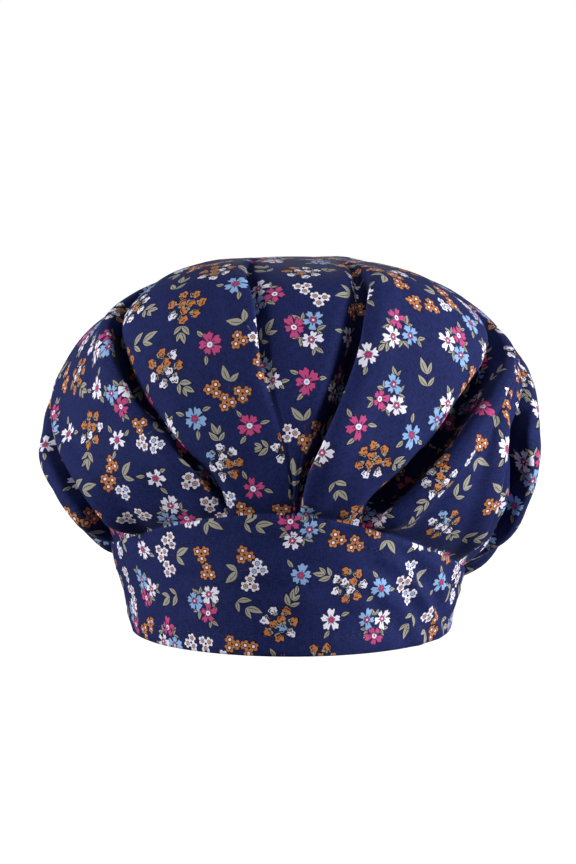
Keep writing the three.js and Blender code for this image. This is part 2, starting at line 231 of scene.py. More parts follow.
def seam_height(angle):
    c = np.cos(angle)
    front = mix(BAND_SIDE_HEIGHT, BAND_FRONT_HEIGHT, np.clip(c, 0, 1) ** BAND_EDGE_CURVE)
    back = mix(BAND_SIDE_HEIGHT, CASING_HEIGHT, smooth(-c * CASING_EDGE_RATE))
    return np.where(c > 0, front, back) - BAND_TILT * np.sin(angle) * smooth(c + 1)


def band_point(angle, height, out):
    """A point of the band's wall, moved outwards by out."""
    c, s = np.cos(angle), np.sin(angle)
    lean = (LEAN_SIDE * s * s + np.where(c > 0, LEAN_FRONT, LEAN_BACK) * c * c) * height
    depth = np.where(c > 0, RIM_FRONT_DEPTH, RIM_BACK_DEPTH)
    x = (RIM_HALF_WIDTH + lean + out) * s
    y = -(depth + lean + out) * c
    return np.stack(np.broadcast_arrays(x, y, height), -1)


def crown_form(angle, share):
    """The crown's smooth form, without pleats."""
    c = np.cos(angle)
    seam = band_point(angle, seam_height(angle) + SEWN_GAP, SEAM_OUT)
    height = WIDEST_HEIGHT + np.where(c > 0, WIDEST_FRONT_RISE, -WIDEST_BACK_DROP) * c * c
    x = CROWN_SET_RIGHT + CROWN_HALF_WIDTH * np.sin(angle)
    y = CROWN_SET_BACK - CROWN_HALF_DEPTH * c
    widest = np.stack(np.broadcast_arrays(x, y, height), -1)
    if share < WIDEST_SHARE:
        undercut = mix(UNDERCUT_FRONT, UNDERCUT_BACK, smooth(-c * UNDERCUT_TURN))
        arc = undercut * (1 - share / WIDEST_SHARE)
        inwards = (1 - np.cos(arc)) / (1 - np.cos(undercut))
        down = np.sin(arc) / np.sin(undercut)
        return mix(widest, seam, np.stack([inwards, inwards, down], -1))
    arc = (share - WIDEST_SHARE) / (1 - WIDEST_SHARE) * math.pi / 2
    frontal = np.clip(c, 0, 1) ** FRONT_REACH
    fullness = mix(CROWN_FULLNESS, FRONT_FULLNESS, frontal)
    across, up = max(math.cos(arc), 0), math.sin(arc)
    spread_out = (across**fullness + up**fullness) ** (1 / fullness)
    up = up / spread_out
    outwards = across / spread_out * (1 - FRONT_LEAN * frontal * up)
    top = np.array([CROWN_SET_RIGHT, CROWN_TOP_BACK, CROWN_TOP_HEIGHT])
    return mix(top, widest, np.stack([outwards, outwards, 1 - up], -1))


def crown_normal(angle, share):
    nudge = 0.004
    round_it = crown_form(angle + nudge, share) - crown_form(angle - nudge, share)
    upwards = crown_form(angle, share + nudge) - crown_form(angle, max(share - nudge, 0))
    out = np.cross(round_it, upwards)
    return out / np.linalg.norm(out, axis=-1, keepdims=True)


def pleat_strength(pleat, share):
    shown = from_columns(LINE_SHARES, PLEAT_STRENGTHS[pleat["name"]], share)
    return max(shown, 0) * math.sqrt(smooth(share / PLEAT_RISE))


def pleat_angle(pleat, share):
    return math.radians(from_columns(LINE_SHARES, PLEAT_LINES[pleat["name"]], share))


def pleat_stations(index, share):
    """Angles and heights of the points across one pleat, in order of angle."""
    pleat = PLEATS[index]
    fold = pleat_angle(pleat, share)
    strength = pleat_strength(pleat, share)
    lapped = smooth((strength - OVERHANG_START) / (1 - OVERHANG_START))
    overhang = PLEAT_OVERHANG * pleat["overhang"] * lapped
    width = PLEAT_WIDTH * pleat["width"] * mix(PLEAT_FOOT_WIDTH, 1, smooth(share / PLEAT_RISE))

    def room_to(k):
        if not 0 <= k < len(PLEATS):
            return 2 * PLEAT_REACH
        return PLEAT_ROOM * ANGLE_RADIUS * abs(pleat_angle(PLEATS[k], share) - fold)

    def within(length, room):
        return length / (1 + (abs(length) / room) ** ROOM_SHARPNESS) ** (1 / ROOM_SHARPNESS)

    tuck = within(PLEAT_TUCK * pleat["tuck"] * lapped, TUCK_ROOM * room_to(index - pleat["faces"]))
    stations = []
    for part in PLEAT_SECTION:
        eased = part.get("ease", 0) * pleat["ease"] * PLEAT_EASE
        flat = part["reach"] * PLEAT_REACH + part["width"] * width + eased
        side = int(math.copysign(1, flat)) * pleat["faces"]
        across = within(flat, room_to(index + side)) + part["over"] * overhang - part.get("tuck", 0) * tuck
        crest = part["crest"] * PLEAT_CREST * pleat["crest"]
        depth = (part["depth"] + part.get("valley", 0) * pleat["valley"]) * PLEAT_DEPTH * pleat["depth"]
        stations.append((fold + pleat["faces"] * across / ANGLE_RADIUS, strength * (crest - depth)))
    return stations if pleat["faces"] > 0 else stations[::-1]


def crown_stations(share):
    """The crown's outline at one level: every pleat, and then the gathers round the back."""
    stations = []
    for index in range(len(PLEATS)):
        pleat = pleat_stations(index, share)
        if stations:
            stations.append(tuple(mix(np.array(stations[-1]), np.array(pleat[0]), 0.5)))
        stations += pleat
    start, end = stations[-1][0], stations[0][0] + 2 * math.pi
    steps = GATHERS * STEPS_PER_GATHER
    fade = smooth((share - GATHER_FULL_SHARE) / (GATHER_TOP_SHARE - GATHER_FULL_SHARE))
    rise = smooth(share / GATHER_START_SHARE) * (1 - fade)
    for i in range(1, steps):
        wave = math.cos(2 * math.pi * i / STEPS_PER_GATHER)
        uneven = 1 + GATHER_UNEVENNESS * math.sin(i * GATHER_UNEVEN_RATE)
        ends = smooth(min(i, steps - i) / STEPS_PER_GATHER)
        stations.append((mix(start, end, i / steps), -GATHER_DEPTH * rise * wave * uneven * ends))
    return np.array(stations)


def crown_wrinkles(angle, share, places):
    """Small unevenness of the cloth on top of the pleats, as heights."""
    heights = np.zeros(len(angle))
    puckered = smooth(share / 0.01) * math.exp(-share / PUCKER_SHARE)
    streaked = smooth(share / 0.04) * (1 - smooth((share - 0.12) / 0.4))
    body = smooth(share / 0.15) * (1 - smooth((share - 0.86) / 0.1))
    for k, place in enumerate(places):
        p = Vector(place)
        turn = Vector((math.sin(angle[k]), math.cos(angle[k]), 0))
        soft = SOFT_FOLD * noise.noise(p / SOFT_FOLD_SIZE) + WRINKLE * noise.noise(p / WRINKLE_SIZE)
        streak = STREAK * noise.noise(turn * STREAKS_ROUND + Vector((0, 0, share * 2.5)))
        pucker = PUCKER * noise.noise(turn * PUCKERS_ROUND + Vector((0, 0, share * 8)))
        heights[k] = body * soft + streaked * streak + puckered * pucker
    return heights


def spread(stations, counts):
    """More stations on a smooth curve through the given ones, counts[k] of them from station k on."""
    n = len(stations)
    around = np.array([2 * math.pi, 0])
    made = []
    for k in range(n):
        p = [stations[(k + j) % n] + around * ((k + j) // n) for j in (-1, 0, 1, 2)]
        t = (np.arange(counts[k]) / counts[k])[:, None]
        a = 2 * p[1]
        b = p[2] - p[0]
        c = 2 * p[0] - 5 * p[1] + 4 * p[2] - p[3]
        d = 3 * p[1] - p[0] - 3 * p[2] + p[3]
        made.append(0.5 * (a + b * t + c * t**2 + d * t**3))
    return np.concatenate(made)


def crown_shares():
    """Levels up the crown, closer together near the seam."""
    steps = np.linspace(0, 1, CROWN_ROW_COUNT)
    return CROWN_LAST_SHARE * (0.75 * steps + 0.25 * steps**2)


def crown_columns():
    """How many columns of the mesh each stretch between two stations takes."""
    widths = 0
    for share in (0.1, 0.2, WIDEST_SHARE, 0.4, 0.55):
        stations = crown_stations(share)
        points = crown_form(stations[:, 0], share) + crown_normal(stations[:, 0], share) * stations[:, 1:]
        gaps = np.linalg.norm(np.roll(points, -1, axis=0) - points, axis=1)
        widths = np.maximum(widths, gaps)
    return np.clip(np.ceil(widths / CROWN_STEP), 2, None).astype(int)


def crown_grid(shares, counts):
    rows = []
    for share in shares:
        line = spread(crown_stations(share), counts)
        angle = line[:, 0]
        form, out = crown_form(angle, share), crown_normal(angle, share)
        height = line[:, 1] + crown_wrinkles(angle, share, form)
        rows.append(form + out * height[:, None])
    return rows


def print_cuts(counts):
    """Columns of the mesh at the bottom of the folds, where the print may be cut off."""
    starts = np.concatenate([[0], np.cumsum(counts)])
    per_pleat = len(PLEAT_SECTION) + 1
    cuts = []
    for index, pleat in enumerate(PLEATS):
        if pleat_strength(pleat, PRINT_CUT_SHARE) > 0.3:
            place = ROOT if pleat["faces"] > 0 else len(PLEAT_SECTION) - 1 - ROOT
            cuts.append(starts[index * per_pleat + place])
    first_gather = per_pleat * len(PLEATS) - 1
    for i in range(STEPS_PER_GATHER, GATHERS * STEPS_PER_GATHER, 2 * STEPS_PER_GATHER):
        cuts.append(starts[first_gather + i])
    return [int(c) for c in cuts]


def looped_faces(rows, columns):
    faces = []
    for j in range(rows - 1):
        for k in range(columns):
            after = (k + 1) % columns
            a, b = j * columns, (j + 1) * columns
            faces.append((a + k, a + after, b + after, b + k))
    return faces


def make_mesh(name, points, faces):
    mesh = bpy.data.meshes.new(name)
    mesh.from_pydata([tuple(map(float, p)) for p in points], [], faces)
    mesh.update()
    piece = bpy.data.objects.new(name, mesh)
    bpy.context.scene.collection.objects.link(piece)
    return piece


def only(piece):
    """Leaves this piece alone selected and active."""
    bpy.ops.object.select_all(action="DESELECT")
    piece.select_set(True)
    bpy.context.view_layer.objects.active = piece


def lay_flat(rows, cuts, cut_rows):
    """Flattens a coarse copy of the crown with cuts at its folds. Gives the places in the cloth for
    each quad's corners, in metres, as an array of rows, columns, corners and two coordinates."""
    count, columns = len(rows), len(rows[0])
    top = np.array([[CROWN_SET_RIGHT, CROWN_TOP_BACK, CROWN_TOP_HEIGHT]])
    faces = looped_faces(count, columns)
    last = (count - 1) * columns
    faces += [(last + k, last + (k + 1) % columns, count * columns) for k in range(columns)]
    piece = make_mesh("crown_flattened", np.concatenate(rows + [top]), faces)
    for edge in piece.data.edges:
        a, b = sorted(edge.vertices)
        if b - a == columns and a % columns in cuts and a // columns < cut_rows:
            edge.use_seam = True
    only(piece)
    bpy.ops.object.mode_set(mode="EDIT")
    bpy.ops.mesh.select_all(action="SELECT")
    bpy.ops.uv.unwrap(method="MINIMUM_STRETCH")
    bpy.ops.object.mode_set(mode="OBJECT")
    mesh = piece.data
    flat = np.empty(len(mesh.loops) * 2)
    mesh.uv_layers.active.data.foreach_get("uv", flat)
    flat = flat.reshape(-1, 2)
    quads = (count - 1) * columns
    corners = flat[: quads * 4].reshape(count - 1, columns, 4, 2)
    points = np.array(rows)
    real = np.linalg.norm(np.roll(points, -1, axis=1) - points, axis=2)[:-1]
    drawn = np.linalg.norm(corners[:, :, 1] - corners[:, :, 0], axis=2)
    tall = np.linalg.norm(points[1:] - points[:-1], axis=2)
    drawn_tall = np.linalg.norm(corners[:, :, 3] - corners[:, :, 0], axis=2)
    scale = (real.sum() + tall.sum()) / (drawn.sum() + drawn_tall.sum())
    corners = corners * scale
    cap = flat[quads * 4:].reshape(columns, 3, 2) * scale
    bpy.data.objects.remove(piece)
    return corners, cap


def crown_piece():
    shares = crown_shares()
    counts = crown_columns()
    rows = crown_grid(shares, counts)
    columns = len(rows[0])
    cuts = print_cuts(counts)
    coarse_k = list(range(0, columns, 2))
    coarse_j = list(range(0, len(rows), 2))
    if coarse_j[-1] != len(rows) - 1:
        coarse_j.append(len(rows) - 1)
    coarse_cuts = [coarse_k.index(c - c % 2) for c in cuts]
    cut_rows = sum(shares[j] < PRINT_CUT_SHARE for j in coarse_j)
    corners, cap = lay_flat([rows[j][coarse_k] for j in coarse_j], coarse_cuts, cut_rows)

    seam_angles = spread(crown_stations(0), counts)[:, 0]
    foot = [band_point(seam_angles, seam_height(seam_angles) - drop, SEAM_OUT) for drop in CROWN_FOOT_DROPS]
    tucked = len(foot)
    grid = foot + rows
    top = np.array([[CROWN_SET_RIGHT, CROWN_TOP_BACK, CROWN_TOP_HEIGHT]])
    faces = looped_faces(len(grid), columns)
    last = (len(grid) - 1) * columns
    faces += [(last + k, last + (k + 1) % columns, last + columns) for k in range(columns)]
    piece = make_mesh("crown_cloth", np.concatenate(grid + [top]), faces)

    uv = piece.data.uv_layers.new(name="cloth")
    flat = np.zeros((len(piece.data.loops), 2))

    def place(j, k, dj, dk):
        """Place in the cloth of the fine grid's corner, seen from the quad at row j and column k."""
        cj = min(j // 2, len(coarse_j) - 2)
        ck = min(k // 2, len(coarse_k) - 1)
        low, high = coarse_j[cj], coarse_j[cj + 1]
        left = coarse_k[ck]
        right = coarse_k[ck + 1] if ck + 1 < len(coarse_k) else columns
        v = (j + dj - low) / (high - low)
        u = (k + dk - left) / (right - left)
        c = corners[cj, ck]
        return mix(mix(c[0], c[1], u), mix(c[3], c[2], u), v)

    at = 0
    for j in range(len(grid) - 1):
        for k in range(columns):
            for dk, dj in ((0, 0), (1, 0), (1, 1), (0, 1)):
                row = max(j - tucked, 0)
                flat[at] = place(row, k, dj if j >= tucked else 0, dk)
                at += 1
    for k in range(columns):
        ck = min(k // 2, len(coarse_k) - 1)
        left = coarse_k[ck]
        right = coarse_k[ck + 1] if ck + 1 < len(coarse_k) else columns
        tri = cap[ck]
        flat[at] = mix(tri[0], tri[1], (k - left) / (right - left))
        flat[at + 1] = mix(tri[0], tri[1], (k + 1 - left) / (right - left))
        flat[at + 2] = tri[2]
        at += 3
    uv.data.foreach_set("uv", flat.ravel())

    solidify = piece.modifiers.new("cloth", "SOLIDIFY")
    solidify.thickness = CLOTH
    solidify.offset = 0
    solidify.use_even_offset = False
    only(piece)
    bpy.ops.object.modifier_apply(modifier="cloth")
    piece.data.shade_smooth()
    return piece


def band_height(angle):
    return seam_height(angle) - BAND_BELOW_SEAM


def strip_section(half, layers):
    """The outline across a doubled strip of cloth: up outside, over the top fold, down inside and
    round the bottom fold. Each point is (share of the height, rise, side), side from 1 to -1."""
    fold = [(math.cos(a), math.sin(a)) for a in np.linspace(0, math.pi, 7)]
    outside = [(s, 0, 1) for s in np.linspace(0, 1, layers)]
    top = [(1, up * half, side) for side, up in fold[1:-1]]
    inside = [(s, 0, -1) for s in np.linspace(1, 0, layers)]
    bottom = [(0, -up * half, -side) for side, up in fold[1:-1]]
    return outside + top + inside + bottom


def strip_piece(name, angles, height_at, half_at, shape, layers, cloth_length, middle):
    """A closed strip of doubled cloth round the head, with its cloth places in metres."""
    half = float(np.max(half_at(angles)))
    section = strip_section(half, layers)
    tall = height_at(angles)
    points, places = [], []
    for share, rise, side in section:
        z = half + share * (tall - 2 * half) + rise
        out = middle + side * half_at(angles) + shape(angles, share, side)
        points.append(band_point(angles, z, out))
        across = share if side > 0 else 2 - share
        places.append(np.stack([cloth_length, across * tall], -1))
    around, count = len(section), len(angles)
    points = np.array(points)
    ends = [points[:, 0].mean(0), points[:, -1].mean(0)]
    faces, corners = [], []
    for r in range(around):
        after = (r + 1) % around
        for k in range(count - 1):
            faces.append((r * count + k, r * count + k + 1, after * count + k + 1, after * count + k))
            low, high = places[r], places[after]
            corners += [low[k], low[k + 1], high[k + 1], high[k]]
    for side, k in ((0, 0), (1, count - 1)):
        middle_point = around * count + side
        for r in range(around):
            after = (r + 1) % around
            pair = (after, r) if side else (r, after)
            faces.append((pair[1] * count + k, pair[0] * count + k, middle_point))
            corners += [places[pair[1]][k], places[pair[0]][k], places[r][k]]
    piece = make_mesh(name, np.concatenate([points.reshape(-1, 3), ends]), faces)
    uv = piece.data.uv_layers.new(name="cloth")
    uv.data.foreach_set("uv", np.array(corners, dtype=float).ravel())
    only(piece)
    bpy.ops.object.mode_set(mode="EDIT")
    bpy.ops.mesh.select_all(action="SELECT")
    bpy.ops.mesh.normals_make_consistent(inside=False)
    bpy.ops.object.mode_set(mode="OBJECT")
    piece.data.shade_smooth()
    return piece


def along_rim(angles):
    """Length along the middle of the band from the first angle on."""
    line = band_point(angles, seam_height(angles) * 0.5, 0)
    steps = np.linalg.norm(np.diff(line, axis=0), axis=1)
    return np.concatenate([[0], np.cumsum(steps)])


def noise_at(points, size, seed=0):
    move = Vector((seed, seed * 0.7, seed * 1.3))
    return np.array([noise.noise(Vector(p) / size + move) for p in points])


def groove(distance, width):
    return np.exp(-((distance / width) ** 2))


def band_relief(angles, share, side):
    """Puckers along the stitch lines, level folds and the slack folds of the band's right side."""
    tall = band_height(angles)
    z = share * tall
    place = np.stack([angles * ANGLE_RADIUS, z, np.full_like(angles, side)], -1)
    relief = BAND_UNEVENNESS * noise_at(place / [1, 0.6, 1], BAND_UNEVENNESS_SIZE, 3)
    if side <= 0:
        return 0.6 * relief
    for line in (STITCH_MARGIN, tall - STITCH_MARGIN):
        near = groove(z - line, STITCH_GROOVE_WIDTH)
        beside = groove(z - line, STITCH_PUCKER_WIDTH)
        pucker = noise_at(place / [1, 3, 1], 3.4 * MM, 9)
        relief = relief - STITCH_GROOVE * near + STITCH_PUCKER * beside * pucker
    x = ANGLE_RADIUS * (angles - SLACK_ANGLE)
    slant = x * SLACK_SLANT + (z - tall * 0.45)
    there = groove(x, SLACK_WIDTH) * groove(z - tall * 0.5, SLACK_HEIGHT)
    wander = 1.5 * noise_at(place, 20 * MM, 5)
    relief = relief + SLACK_FOLD * there * np.sin(slant / SLACK_FOLD_PITCH + wander)
    wrinkles = BAND_WRINKLE * noise_at(place * [0.3, 1, 1], BAND_WRINKLE_SIZE, 17)
    folds = BAND_FOLD * noise_at(place * [0.6, 1, 1], BAND_FOLD_SIZE, 23)
    return relief + (wrinkles + folds) * groove(z - tall * 0.5, tall * 0.42)


def band_piece():
    angles = np.radians(np.linspace(-math.degrees(BAND_END), math.degrees(BAND_END), 341))

    def half_at(a):
        return np.full_like(a, BAND_THICKNESS / 2)

    length = along_rim(angles)
    return strip_piece("front_band_cloth", angles, band_height, half_at, band_relief, 27, length, BAND_MIDDLE)


def ruffle_wave(angles, share, seed):
    """Uneven gathers, each from the casing's bottom to its top."""
    turn = (angles - math.pi) / (math.pi - CASING_END) * CASING_RUFFLES / 2
    drift = noise_at(np.stack([turn * 0.35, share * 0.9 + 0 * turn, 0 * turn], -1), 1, seed)
    wave = np.sin((turn + 0.55 * drift) * 2 * math.pi)
    strength = 1 + 0.55 * noise_at(np.stack([turn * 0.9, 0 * turn + share * 1.5, 0 * turn], -1), 1, seed + 4)
    return wave * strength


def casing_piece():
    span = math.pi - CASING_END
    angles = np.linspace(math.pi - span, math.pi + span, 561)
    ends = smooth((span - np.abs(angles - math.pi)) / math.radians(7))

    def half_at(a):
        return CASING_HALF_THICKNESS * mix(0.3, 1, ends)

    def relief(a, share, side):
        z = share * band_height(a)
        low, high = z - CASING_STITCH, band_height(a) - z - CASING_STITCH
        lines = groove(low, CASING_GROOVE_WIDTH) + groove(high, CASING_GROOVE_WIDTH)
        together = ruffle_wave(a, share, 1) * RUFFLE_HEIGHT
        apart = ruffle_wave(a + 0.02, share, 7) * RUFFLE_HEIGHT * 0.45
        return ends * (together + side * apart - side * 0.75 * CASING_HALF_THICKNESS * np.clip(lines, 0, 1))

    length = along_rim(angles) * CASING_FULLNESS
    return strip_piece("back_casing_cloth", angles, band_height, half_at, relief, 17, length, 0)


def thread_stitch():
    """One stitch of the topstitching, lying along X with its underside in the cloth."""
    bpy.ops.object.select_all(action="DESELECT")
    across = (0, math.pi / 2, 0)
    bpy.ops.mesh.primitive_cylinder_add(vertices=8, radius=THREAD / 2, depth=STITCH_LENGTH, rotation=across)
    stitch = bpy.context.object
    stitch.name = "topstitch"
    bpy.ops.object.transform_apply(location=True, rotation=True, scale=True)
    bpy.ops.object.mode_set(mode="EDIT")
    bpy.ops.mesh.select_all(action="SELECT")
    bpy.ops.mesh.bisect(plane_co=(0, 0, 0), plane_no=(1, 0, 0))
    bpy.ops.mesh.select_all(action="DESELECT")
    bpy.ops.object.mode_set(mode="OBJECT")
    for point in stitch.data.vertices:
        end = abs(point.co.x) / (STITCH_LENGTH / 2)
        point.co.z -= THREAD * 0.55 * end**2
        point.co.y *= 1 - 0.35 * end
    stitch.data.shade_smooth()
    return stitch


def stitch_row(stitch, points, outs, name):
    """Copies of the stitch along a line of points on the cloth, joined to one piece."""
    gaps = np.linalg.norm(np.diff(points, axis=0), axis=1)
    length = np.concatenate([[0], np.cumsum(gaps)])
    count = int(length[-1] / STITCH_PITCH)
    copies = []
    for i in range(count):
        at = (i + 0.5) * STITCH_PITCH
        place = np.array([np.interp(at, length, points[:, c]) for c in range(3)])
        ahead = np.array([np.interp(at + MM, length, points[:, c]) for c in range(3)])
        outward = Vector([np.interp(at, length, outs[:, c]) for c in range(3)]).normalized()
        along = Vector(ahead - place).normalized()
        across = outward.cross(along).normalized()
        copy = stitch.copy()
        copy.data = stitch.data.copy()
        turn = Matrix((along, across, outward)).transposed().to_4x4()
        copy.matrix_world = Matrix.Translation(Vector(place)) @ turn
        bpy.context.scene.collection.objects.link(copy)
        copies.append(copy)
    bpy.ops.object.select_all(action="DESELECT")
    for copy in copies:
        copy.select_set(True)
    bpy.context.view_layer.objects.active = copies[0]
    bpy.ops.object.join()
    row = bpy.context.object
    row.name = name
    bpy.ops.object.transform_apply(location=True, rotation=True, scale=True)
    return row


def band_line(angles, z):
    """A line on the band's outer face at height z, and the directions out of it."""
    tall = band_height(angles)
    half = BAND_THICKNESS / 2
    share = (z - half) / (tall - 2 * half)
    relief = [band_relief(angles[k : k + 1], share[k : k + 1], 1)[0] for k in range(len(angles))]
    out = BAND_MIDDLE + half + np.array(relief)
    points = band_point(angles, z, out)
    ahead = band_point(angles + 0.002, z, out) - points
    up = band_point(angles, z + MM, out) - points
    outs = np.cross(ahead, up)
    return points, outs / np.linalg.norm(outs, axis=1, keepdims=True)


# Materials

def srgb(red, green, blue):
    def linear(c):
        c = c / 255
        return c / 12.92 if c <= 0.04045 else ((c + 0.055) / 1.055) ** 2.4

    return (linear(red), linear(green), linear(blue), 1)


NAVY = srgb(28, 39, 97)
NAVY_SHADE = srgb(19, 27, 70)
LINE_INK = srgb(12, 14, 30)
WHITE = srgb(240, 236, 254)
PINK = srgb(196, 74, 134)
DEEP_PINK = srgb(178, 46, 104)
BLUE = srgb(144, 180, 230)
ORANGE = srgb(198, 126, 76)
SAGE = srgb(166, 162, 150)
THREAD_NAVY = srgb(13, 17, 42)


class Field:
    """A number at each place on the cloth, that reads as arithmetic and is built of Math nodes."""

    def __init__(self, tree, socket):
        self.tree = tree
        self.socket = socket

    def calc(self, operation, other=None, third=None, clamp=False):
        node = self.tree.nodes.new("ShaderNodeMath")
        node.operation = operation
        node.use_clamp = clamp
        for slot, value in enumerate((self, other, third)):
            if value is not None:
                feed(self.tree, value, node.inputs[slot])
        return Field(self.tree, node.outputs[0])

    def __add__(self, other):
        return self.calc("ADD", other)

    def __sub__(self, other):
        return self.calc("SUBTRACT", other)

    def __mul__(self, other):
        return self.calc("MULTIPLY", other)

    def __truediv__(self, other):
        return self.calc("DIVIDE", other)

    def less(self, other):
        return self.calc("LESS_THAN", other)

    def more(self, other):
        return self.calc("GREATER_THAN", other)

    def least(self, other):
        return self.calc("MINIMUM", other)

    def most(self, other):
        return self.calc("MAXIMUM", other)

    def size(self):
        return self.calc("ABSOLUTE")

    def within(self, softness):
        """1 where this distance is below zero, with a soft edge."""
        return self.calc("MULTIPLY_ADD", -1 / softness, 0.5, clamp=True)


def feed(tree, value, socket):
    """Puts a field, a socket or a plain value into a socket."""
    if isinstance(value, Field):
        value = value.socket
    if isinstance(value, bpy.types.NodeSocket):
        tree.links.new(value, socket)
    else:
        socket.default_value = value


def distance_of(x, y):
    return (x * x + y * y).calc("SQRT")


def vector_of(tree, x, y, z=0.0):
    node = tree.nodes.new("ShaderNodeCombineXYZ")
    for slot, value in enumerate((x, y, z)):
        feed(tree, value, node.inputs[slot])
    return node.outputs[0]


def parts_of(tree, vector):
    node = tree.nodes.new("ShaderNodeSeparateXYZ")
    feed(tree, vector, node.inputs[0])
    return [Field(tree, node.outputs[k]) for k in range(3)]


def chance(tree, first, second=0.0, third=0.0):
    """Three random numbers from 0 to 1 that hang on the given ones alone."""
    node = tree.nodes.new("ShaderNodeTexWhiteNoise")
    node.noise_dimensions = "3D"
    feed(tree, vector_of(tree, first, second, third), node.inputs["Vector"])
    return parts_of(tree, node.outputs["Color"])


def blend(tree, share, under, over):
    node = tree.nodes.new("ShaderNodeMix")
    node.data_type = "RGBA"
    feed(tree, share, node.inputs[0])
    feed(tree, under, node.inputs[6])
    feed(tree, over, node.inputs[7])
    return node.outputs[2]


def one_of(tree, value, *choices):
    """Picks a colour by a number from 0 to 1. Each choice is (its upper limit, colour)."""
    node = tree.nodes.new("ShaderNodeValToRGB")
    ramp = node.color_ramp
    ramp.interpolation = "CONSTANT"
    starts = [0] + [limit for limit, _ in choices[:-1]]
    ramp.elements[0].position = 0
    ramp.elements[0].color = choices[0][1]
    ramp.elements[1].position = starts[1] if len(starts) > 1 else 1
    ramp.elements[1].color = choices[min(1, len(choices) - 1)][1]
    for start, (_, colour) in list(zip(starts, choices))[2:]:
        ramp.elements.new(start).color = colour
    feed(tree, value, node.inputs[0])
    return node.outputs[0]


def sector(tree, x, y, count):
    """Folds the places round a centre into one of so many equal sectors, along +X. Gives the place in it
    and the sector's number."""
    step = 2 * math.pi / count
    angle = y.calc("ARCTAN2", x)
    number = (angle / step).calc("ROUND")
    aside = angle - number * step
    radius = distance_of(x, y)
    return radius * aside.calc("COSINE"), radius * aside.calc("SINE"), number.calc("FLOORED_MODULO", count)


def turned(x, y, angle):
    """The place as seen from a drawing that is turned by a fixed angle."""
    c, s = math.cos(angle), math.sin(angle)
    return x * c + y * s, y * c - x * s


def spun(x, y, turn):
    """The same with an angle that is a field."""
    c, s = turn.calc("COSINE"), turn.calc("SINE")
    return x * c + y * s, y * c - x * s


class Motif:
    """Ink on the ground: a colour and how much of it there is."""

    def __init__(self, tree, colour, amount):
        self.tree, self.colour, self.amount = tree, colour, amount

    def over(self, other):
        """This motif printed on top of another."""
        colour = blend(self.tree, self.amount, other.colour, self.colour)
        return Motif(self.tree, colour, self.amount.most(other.amount))

    def where(self, mask):
        return Motif(self.tree, self.colour, self.amount * mask)


def flower(tree, x, y, radius, seed, petals, eye, ring_dot):
    """A five-petalled flower: the petals widen outwards to toothed ends, each a little different, with a
    dark outline and a ringed eye."""
    px, py, number = sector(tree, x, y, 5)
    grown = chance(tree, seed, number, 3.1)
    kind = chance(tree, seed, 2.9, 4.7)
    scale = (grown[0] * 0.36 + 0.78) * radius
    px, py = px / scale, py / scale + (grown[1] - 0.5) * 0.14
    reach = distance_of(px, py)
    flare = (px * 1.9 - 0.45).calc("MULTIPLY", 1.0, clamp=True)
    side = py.size() - (flare * (kind[0] * 0.14 + 0.13) + 0.17)
    tooth = (py * (kind[1] * 6 + 13) + grown[2] * 6.28).calc("SINE") * 0.085
    form = side.calc("SMOOTH_MAX", reach - 0.96 + tooth, 0.1) * radius
    middle = distance_of(x, y)
    form = form.least(middle - 0.4 * radius)
    line = (form * -1).less(0.13).most((middle - 0.29 * radius).size().less(0.14))
    line = line.most(py.size().less(0.03) * px.less(0.48))
    colour = blend(tree, line, petals, LINE_INK)
    colour = blend(tree, (middle - 0.25 * radius).within(0.12), colour, eye)
    colour = blend(tree, (middle - 0.1 * radius).within(0.15), colour, ring_dot)
    return Motif(tree, colour, (form - 0.2).within(0.14))


def blossom(tree, x, y, radius, seed, petals, eye):
    """A tiny five-petalled blossom with a ringed eye, outlined."""
    px, py, number = sector(tree, x, y, 5)
    grown = chance(tree, seed, number, 5.7)
    px, py = px / radius, py / radius
    petal = (distance_of((px - 0.6) / (grown[0] * 0.1 + 0.42), py / 0.42) - 1) * 0.42
    form = petal.least(px - 0.55) * radius
    middle = distance_of(x, y)
    line = (form * -1).less(0.14).most((middle - 0.4 * radius).size().less(0.17))
    colour = blend(tree, line, petals, LINE_INK)
    colour = blend(tree, (middle - 0.28 * radius).within(0.12), colour, eye)
    return Motif(tree, colour, (form - 0.22).within(0.12))


def blossom_triple(tree, x, y, turn, radius, seed, petals, eye):
    """Three blossoms round one point."""
    cx, cy = spun(x, y, turn)
    bx, by, number = sector(tree, cx, cy, 3)
    return blossom(tree, bx - 2.3, by, radius, number + seed, petals, eye)


def rosebud(tree, x, y, radius, seed, petals):
    """A frilled rosebud drawn with a few curled lines, sitting in a sage calyx."""
    own = chance(tree, seed, 8.3, 1.7)
    angle = y.calc("ARCTAN2", x)
    wave = (angle * 6 + own[0] * 6.28).calc("SINE") * 0.1 + (angle * 3 + own[1] * 6.28).calc("SINE") * 0.12
    reach = distance_of(x, y * 1.15) / radius + wave
    form = (reach - 1) * radius
    curl = ((reach * 8 + angle * 1.0 + own[2] * 6.28).calc("SINE") - 0.55).more(0)
    curl = curl * (angle * 2 + own[0] * 6.28).calc("SINE").more(-0.5) * reach.more(0.15)
    calyx = (x + radius * 0.5 + wave * radius).within(0.12)
    colour = blend(tree, calyx, petals, SAGE)
    split = (x + radius * 0.42 + wave * radius).size().less(0.16)
    rib = y.size().less(0.13) * x.less(radius * -0.45)
    line = (form * -1).less(0.14).most(curl).most(split).most(rib)
    colour = blend(tree, line, colour, LINE_INK)
    return Motif(tree, colour, (form - 0.2).within(0.12))


